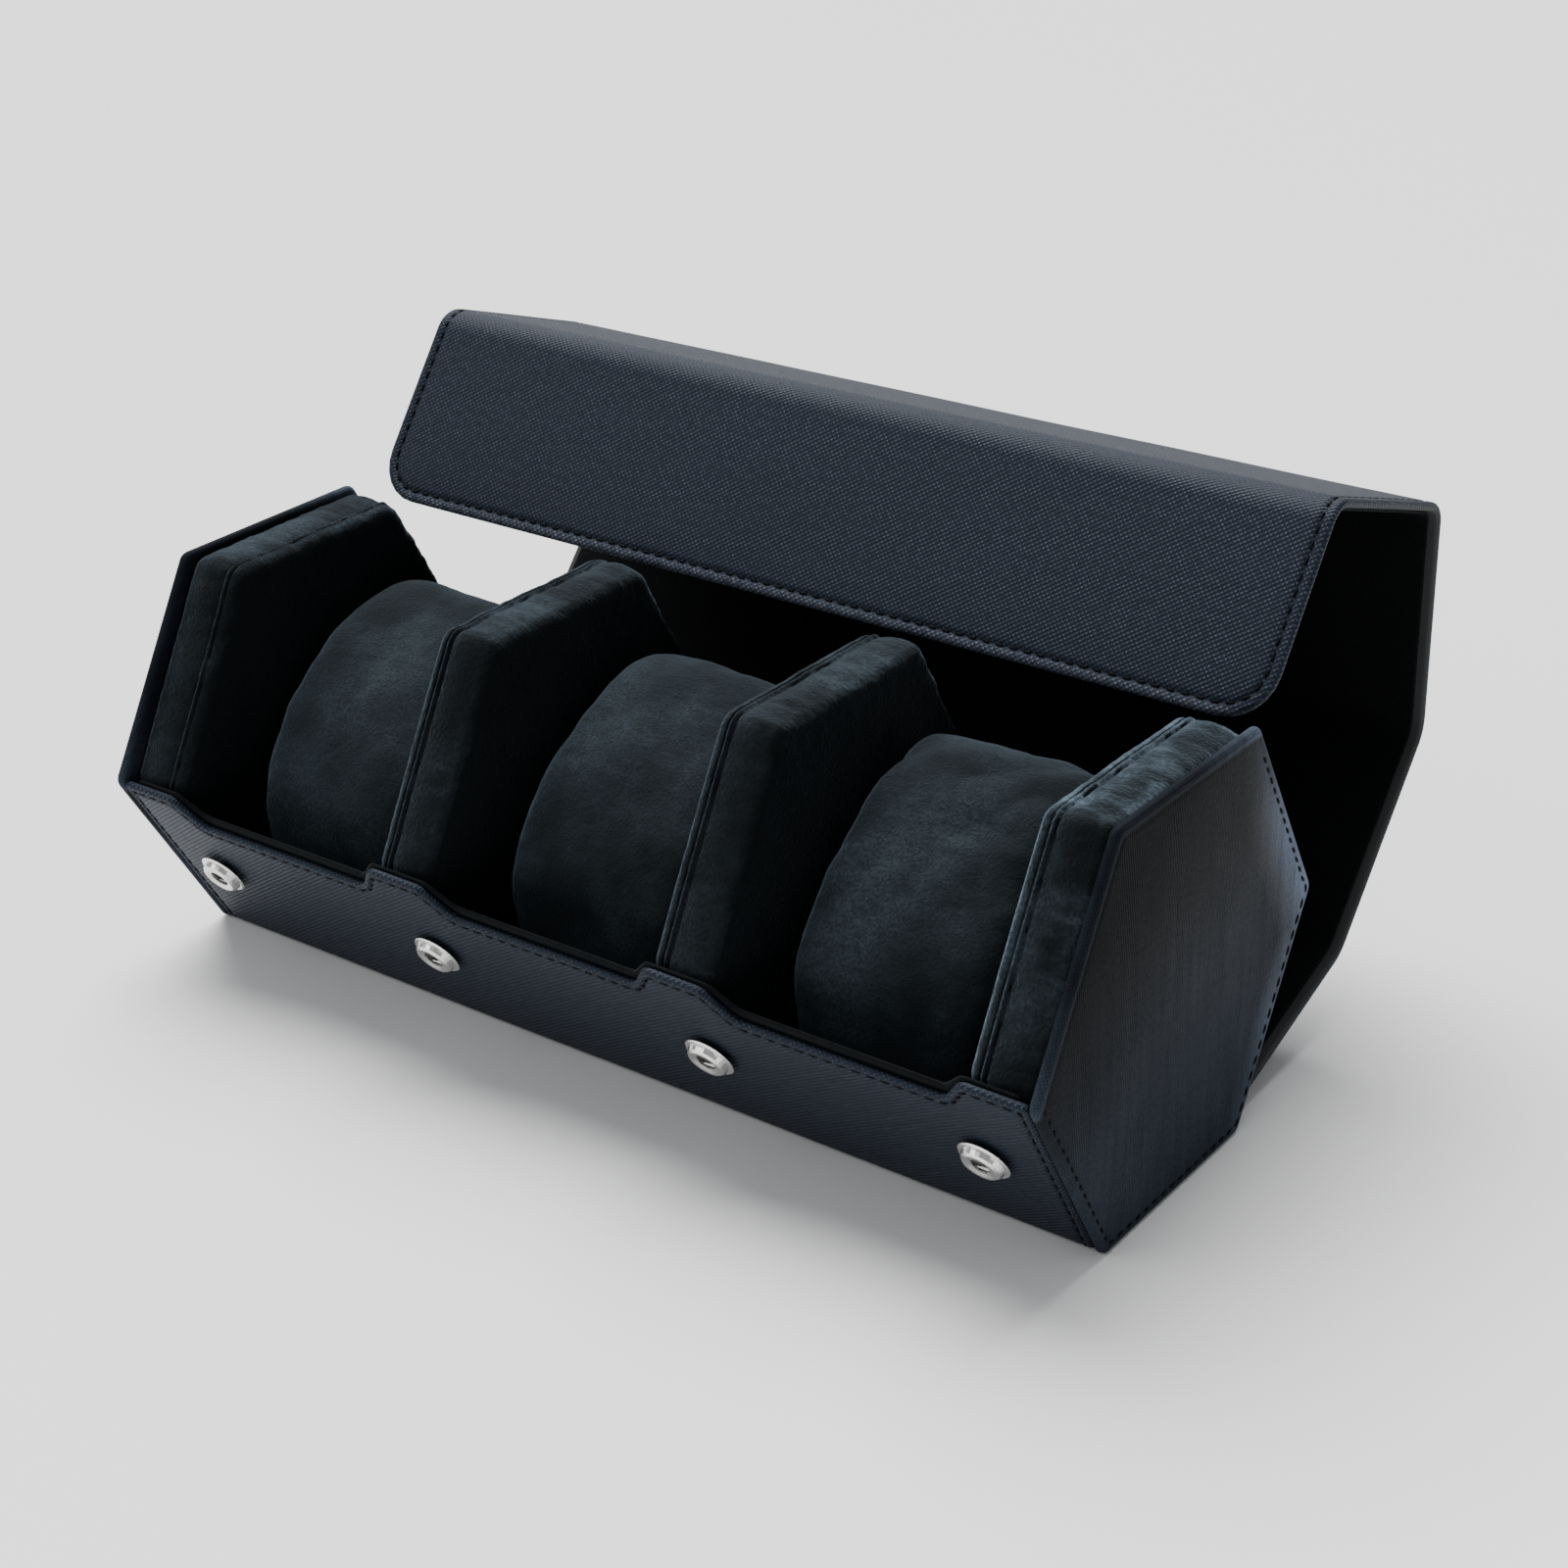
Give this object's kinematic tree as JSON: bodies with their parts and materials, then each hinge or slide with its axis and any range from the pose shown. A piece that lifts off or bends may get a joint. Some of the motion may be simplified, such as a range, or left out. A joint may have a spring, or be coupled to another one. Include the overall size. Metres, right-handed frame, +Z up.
{
  "type": "watch roll",
  "caption": "Hexagonal travel roll for watches, open: leather-covered end panels, plush dividers and cushions, and a wrap-around lid of folding panels with press snaps.",
  "frame": {"origin": "middle of the bottom panel's underside, on the table", "axes": "+X along the roll to the right end seen from the front, +Y to the back where the lid opens, +Z up"},
  "size_m": [0.2256, 0.1533, 0.1182],
  "materials": {
    "leather": "fine cross-hatched grain, dark navy",
    "lining_velvet": "short black velvet",
    "cushion_velvet": "soft velvet with a blue-green cast",
    "plush": "plush pile",
    "nickel": "bright nickel",
    "spring_wire": "drawn wire"
  },
  "bodies": {
    "base": {"bottom_panel": "leather", "floor_lining": "lining_velvet", "front_panel": "leather", "front_lining": "lining_velvet", "left_end_panel": "leather", "left_end_pad": "plush", "left_divider": "plush", "right_end_panel": "leather", "right_end_pad": "plush", "right_divider": "plush", "cushion_left": "cushion_velvet", "cushion_middle": "cushion_velvet", "cushion_right": "cushion_velvet", "snap_socket_1": "nickel", "snap_socket_2": "nickel", "snap_socket_3": "nickel", "snap_socket_4": "nickel", "snap_rivet_1": "nickel", "snap_rivet_2": "nickel", "snap_rivet_3": "nickel", "snap_rivet_4": "nickel", "snap_spring_1": "spring_wire", "snap_spring_2": "spring_wire", "snap_spring_3": "spring_wire", "snap_spring_4": "spring_wire"},
    "lid_back_lower": {"lid_back_lower": "leather", "lining_back_lower": "lining_velvet"},
    "lid_back_upper": {"lid_back_upper": "leather", "lining_back_upper": "lining_velvet"},
    "lid_top": {"lid_top": "leather", "lining_top": "lining_velvet"},
    "lid_front_upper": {"lid_front_upper": "leather", "lining_front_upper": "lining_velvet"},
    "lid_flap": {"lid_flap": "leather", "lining_flap": "lining_velvet", "snap_stud_1": "nickel", "snap_stud_2": "nickel", "snap_stud_3": "nickel", "snap_stud_4": "nickel"}
  },
  "joints": [
    {"name": "back_lower_fold", "type": "hinge", "parent": "base", "child": "lid_back_lower", "pos_m": [0, 0.02475, 0], "axis": [1, 0, 0], "range_deg": [-18.3, 0]},
    {"name": "back_upper_fold", "type": "hinge", "parent": "lid_back_lower", "child": "lid_back_upper", "pos_m": [0, 0.07175, 0.01554], "axis": [1, 0, 0], "range_deg": [-31.1, 0]},
    {"name": "top_fold", "type": "hinge", "parent": "lid_back_upper", "child": "lid_top", "pos_m": [0, 0.10396, 0.05313], "axis": [1, 0, 0], "range_deg": [-41.2, 0]},
    {"name": "front_upper_fold", "type": "hinge", "parent": "lid_top", "child": "lid_front_upper", "pos_m": [0, 0.10344, 0.10262], "axis": [1, 0, 0], "range_deg": [-70.8, 12]},
    {"name": "flap_fold", "type": "hinge", "parent": "lid_front_upper", "child": "lid_flap", "pos_m": [0, 0.05653, 0.11841], "axis": [1, 0, 0], "range_deg": [-72.3, 15]}
  ]
}
